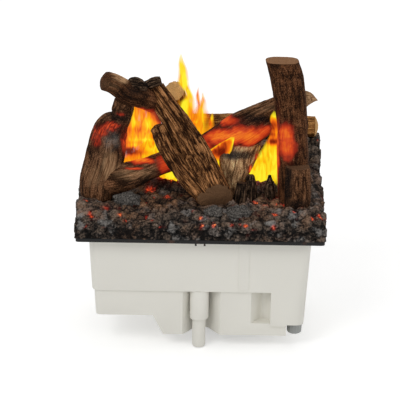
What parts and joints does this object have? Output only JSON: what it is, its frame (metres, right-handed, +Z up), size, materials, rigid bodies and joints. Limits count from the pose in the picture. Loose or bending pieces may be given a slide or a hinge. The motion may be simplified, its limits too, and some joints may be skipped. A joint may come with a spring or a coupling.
{
  "type": "electric fireplace insert",
  "caption": "Water-mist electric fireplace insert: glowing moulded logs and embers on a black steel frame over a white moulded sump with a drain spout.",
  "frame": {"origin": "centre of the whole insert in plan, at the lowest point, the tip of the drain spout", "axes": "+X to the right as seen from the front, +Y to the back, +Z up"},
  "size_m": [0.405, 0.29, 0.4715],
  "materials": {
    "white_plastic": "warm white moulded plastic with a fine matt grain",
    "black_steel": "black powder coat, slightly glossy",
    "grey_plastic": "smooth grey plastic",
    "black_plastic": "satin black plastic",
    "clear_plastic": "clear moulded plastic",
    "rubber": "matt black rubber",
    "steel": "zinc-plated steel",
    "foam": "open-cell foam",
    "ceramic": "unglazed ceramic",
    "lamp_glass": "clear capsule glass, lit warm",
    "amber_glass": "amber filter glass",
    "circuit_board": "green solder resist",
    "coal": "rough black coal moulding",
    "ember_glow": "lit ember, orange from within",
    "bark": "rough dark brown bark, singed",
    "cut_wood": "tan split and sawn wood",
    "charred_wood": "burnt black-brown wood"
  },
  "bodies": {
    "housing": {"tub": "white_plastic", "tank_cradle": "white_plastic", "support_frame": "black_steel", "frame_screw_1": "steel", "frame_screw_2": "steel", "frame_screw_3": "steel", "frame_screw_4": "steel", "drain_spout": "white_plastic", "drain_cap_seal": "rubber", "engine_deck": "black_plastic", "mist_pot": "grey_plastic", "mist_nozzle": "black_plastic", "nebuliser_body": "grey_plastic", "nebuliser_seal": "rubber", "nebuliser_disc": "steel", "fan_frame": "black_plastic", "air_filter": "foam", "float_stem": "grey_plastic", "lamp_rail": "ceramic", "lamp_1": "lamp_glass", "lamp_2": "lamp_glass", "lamp_3": "lamp_glass", "colour_filter": "amber_glass", "control_board": "circuit_board", "transformer": "steel", "power_lead": "rubber", "nebuliser_lead": "rubber", "power_inlet": "black_plastic", "switch_housing": "black_plastic", "knob_potentiometer": "grey_plastic"},
    "fuel_bed": {"ember_bed": "coal", "coal_1": "coal", "coal_2": "coal", "coal_3": "ember_glow", "log_upright": "bark", "log_right_stub": "bark", "log_diagonal": "bark", "log_left_branch": "cut_wood", "log_left_trunk": "bark", "log_front_limb": "bark", "log_sloping": "bark", "log_prop": "bark", "log_back": "cut_wood", "log_back_leaning": "cut_wood", "bark_chip_left": "charred_wood", "bark_chip_right": "charred_wood", "charred_stub_left": "charred_wood", "charred_stub_right": "charred_wood", "charred_spike": "charred_wood"},
    "fan_rotor": {"fan_impeller": "black_plastic"},
    "float": {"level_float": "white_plastic"},
    "rocker": {"rocker_switch": "black_plastic"},
    "knob": {"mist_knob": "black_plastic"},
    "tank": {"water_tank": "clear_plastic"},
    "bail": {"tank_handle": "black_plastic"},
    "filler_cap": {"tank_cap": "black_plastic", "tank_cap_seal": "rubber", "valve_spring": "steel"},
    "valve": {"valve_pin": "grey_plastic"},
    "sump_cap": {"drain_cap": "grey_plastic"}
  },
  "joints": [
    {"name": "fuel_bed_lift", "type": "slide", "parent": "housing", "child": "fuel_bed", "axis": [0, 0, 1], "range_m": [0, 0.2]},
    {"name": "tank_lift", "type": "slide", "parent": "housing", "child": "tank", "axis": [0, 0, 1], "range_m": [0, 0.15]},
    {"name": "handle_fold", "type": "hinge", "parent": "tank", "child": "bail", "pos_m": [0.1315, 0, 0.1857], "axis": [0, -1, 0], "range_deg": [0, 90]},
    {"name": "tank_cap_turn", "type": "hinge", "parent": "tank", "child": "filler_cap", "pos_m": [0.1455, -0.04, 0.0495], "axis": [0, 0, 1], "range_deg": [0, 360]},
    {"name": "valve_push", "type": "slide", "parent": "filler_cap", "child": "valve", "axis": [0, 0, 1], "range_m": [0, 0.004], "stiffness_N_per_m": 60, "springref_m": -0.003, "deforming": ["valve_spring"]},
    {"name": "fan_spin", "type": "hinge", "parent": "housing", "child": "fan_rotor", "pos_m": [-0.0203, 0.022, 0.11], "axis": [1, 0, 0], "continuous": true},
    {"name": "float_rise", "type": "slide", "parent": "housing", "child": "float", "axis": [0, 0, 1], "range_m": [0, 0.038]},
    {"name": "rocker_press", "type": "hinge", "parent": "housing", "child": "rocker", "pos_m": [-0.125, -0.085, 0.157], "axis": [1, 0, 0], "range_deg": [-16, 0]},
    {"name": "mist_knob_turn", "type": "hinge", "parent": "housing", "child": "knob", "pos_m": [-0.082, -0.085, 0.158], "axis": [0, 0, -1], "range_deg": [0, 270]},
    {"name": "drain_cap_turn", "type": "hinge", "parent": "housing", "child": "sump_cap", "pos_m": [0.158, -0.0925, 0.0232], "axis": [0, 0, 1], "range_deg": [0, 360]}
  ],
  "couplings": [
    {"joint": "tank_lift", "follows": "fuel_bed_lift", "ratio": 0.75}
  ]
}
